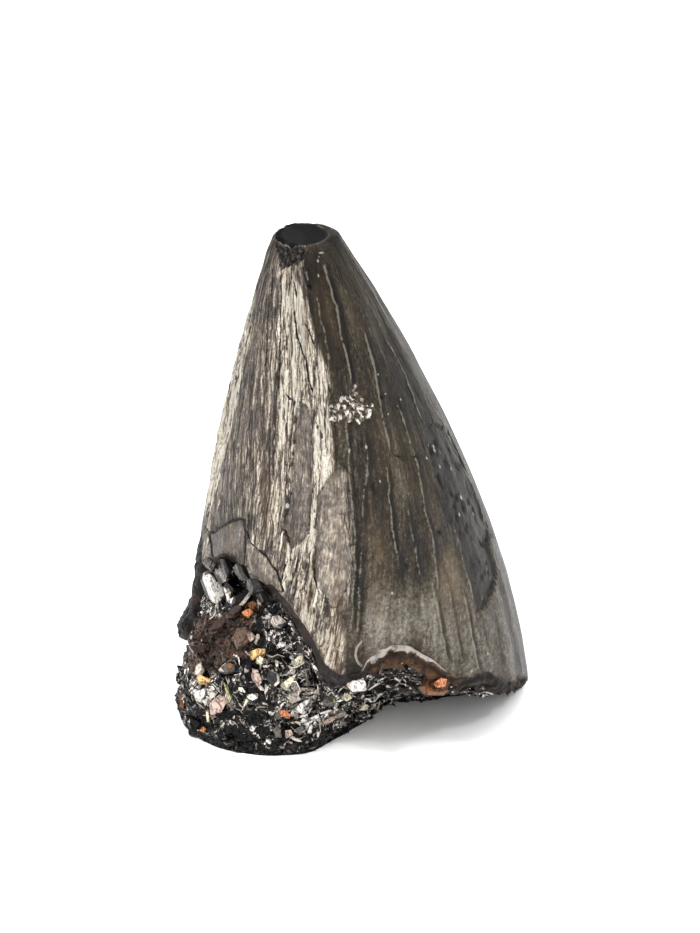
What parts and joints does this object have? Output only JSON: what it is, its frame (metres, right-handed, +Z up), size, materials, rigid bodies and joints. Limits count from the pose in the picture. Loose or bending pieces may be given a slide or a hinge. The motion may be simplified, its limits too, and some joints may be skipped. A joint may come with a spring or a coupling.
{
  "type": "mosasaur tooth",
  "caption": "Fossil reptile tooth crown, tall and slightly curved, with a worn flat tip and a broken base that shows the stony filling of its cavity; stands on its fracture.",
  "frame": {"origin": "under the middle of the object's box, on the surface it stands on", "axes": "+Z up along the crown towards its tip; -Y is the front, where the broken wall shows the filling; the tip leans towards -X"},
  "size_m": [0.0235, 0.0221, 0.0341],
  "materials": {
    "fossil_enamel": "glossy dark brown fossil enamel, ridged, with pale worn ridges",
    "cavity_matrix": "black granular stone with small glittering chips"
  },
  "bodies": {
    "root": {"tooth_crown": "fossil_enamel", "cavity_matrix": "cavity_matrix"}
  },
  "joints": []
}
